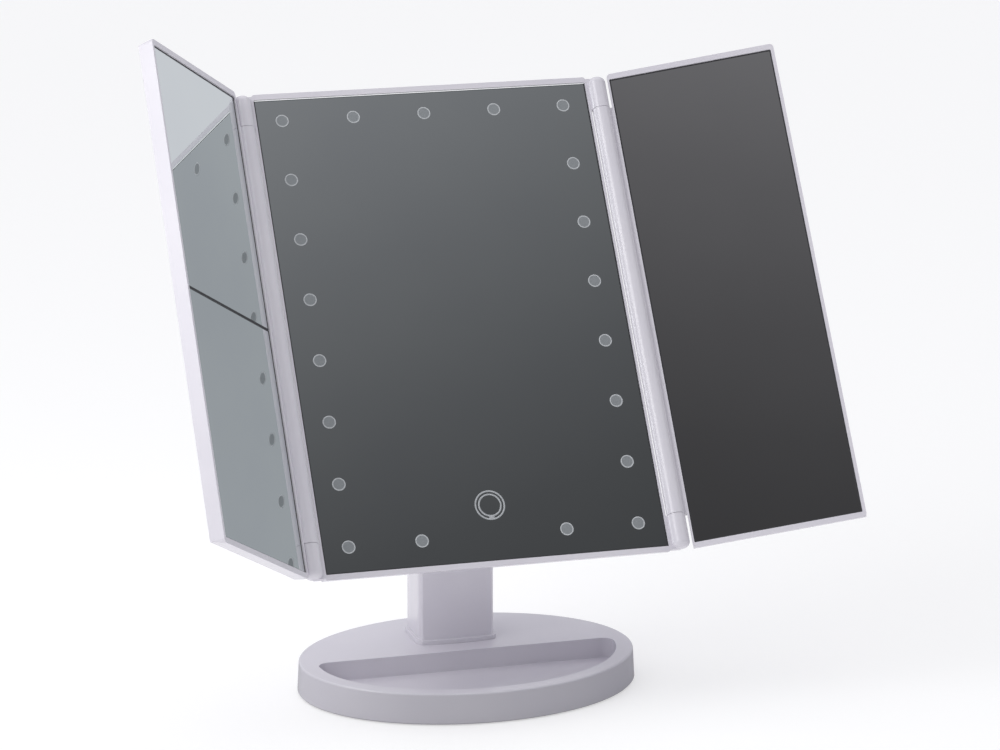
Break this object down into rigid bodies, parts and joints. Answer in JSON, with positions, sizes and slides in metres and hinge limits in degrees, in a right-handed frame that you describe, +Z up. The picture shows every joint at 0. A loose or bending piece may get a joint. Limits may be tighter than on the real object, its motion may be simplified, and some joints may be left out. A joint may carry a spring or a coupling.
{
  "type": "trifold vanity mirror",
  "caption": "Tabletop vanity mirror with two folding side wings, a ring of light windows, a touch key and a tilting neck on an oval tray base.",
  "frame": {"origin": "middle of the oval base's footprint, on the table plane under the anti slip pad", "axes": "+Z up, -Y towards the user (the mirrors face -Y), +X to the user's right when facing the mirror; stored at the pictured tilt and wing angles"},
  "size_m": [0.3131, 0.1969, 0.3071],
  "materials": {
    "gloss_white": "glossy white ABS, moulded",
    "satin_white": "satin white ABS, moulded",
    "mirror_glass": "silvered float glass",
    "frosted_window": "frosted acrylic",
    "steel": "zinc plated",
    "black_rubber": "matt",
    "circuit_board": "solder mask",
    "light_chip": "phosphor",
    "lead_insulation": "smooth",
    "battery_jacket": "printed sleeve, plain",
    "contact_brass": "stamped",
    "foam_tape": "foam adhesive sheet"
  },
  "bodies": {
    "stand": {"base_shell": "gloss_white", "base_cover": "satin_white", "base_weight": "steel", "anti_slip_pad": "black_rubber", "base_screws": "steel", "neck_post": "gloss_white", "neck_cover": "gloss_white", "neck_screws": "steel", "neck_cover_screws": "steel", "pivot_bush": "steel"},
    "panel": {"main_frame": "gloss_white", "rear_housing": "gloss_white", "main_mirror": "mirror_glass", "light_windows": "frosted_window", "touch_ring": "frosted_window", "touch_board": "circuit_board", "top_light_board": "circuit_board", "left_light_board": "circuit_board", "right_light_board": "circuit_board", "bottom_light_board": "circuit_board", "light_chips": "light_chip", "control_board": "circuit_board", "usb_socket": "steel", "lead_wires": "lead_insulation", "batteries": "battery_jacket", "battery_contacts": "contact_brass", "pivot_plate": "steel", "pivot_plate_screws": "steel", "pivot_pin": "steel", "pivot_caps": "satin_white", "friction_washers": "black_rubber", "housing_screws": "steel"},
    "battery_door": {"battery_door": "satin_white"},
    "left_wing": {"left_wing_frame": "gloss_white", "left_wing_cover": "gloss_white", "left_upper_mirror": "mirror_glass", "left_lower_mirror": "mirror_glass", "left_wing_tape": "foam_tape", "left_wing_screws": "steel", "left_hinge_pins": "steel"},
    "right_wing": {"right_wing_frame": "gloss_white", "right_wing_cover": "gloss_white", "right_mirror": "mirror_glass", "right_wing_tape": "foam_tape", "right_wing_screws": "steel", "right_hinge_pins": "steel"}
  },
  "joints": [
    {"name": "tilt", "type": "hinge", "parent": "stand", "child": "panel", "pos_m": [0, 0.029, 0.1588], "axis": [-1, 0, 0], "range_deg": [-35.3, 144.7]},
    {"name": "left_wing_hinge", "type": "hinge", "parent": "panel", "child": "left_wing", "pos_m": [-0.086, 0.01104, 0.17151], "axis": [0, 0.5779, 0.8161], "range_deg": [-52.5, 127.5]},
    {"name": "right_wing_hinge", "type": "hinge", "parent": "panel", "child": "right_wing", "pos_m": [0.086, 0.01104, 0.17151], "axis": [0, -0.5779, -0.8161], "range_deg": [-18.8, 161.2]},
    {"name": "battery_door_slide", "type": "slide", "parent": "panel", "child": "battery_door", "axis": [0, -0.5779, -0.8161], "range_m": [0, 0.012]}
  ]
}
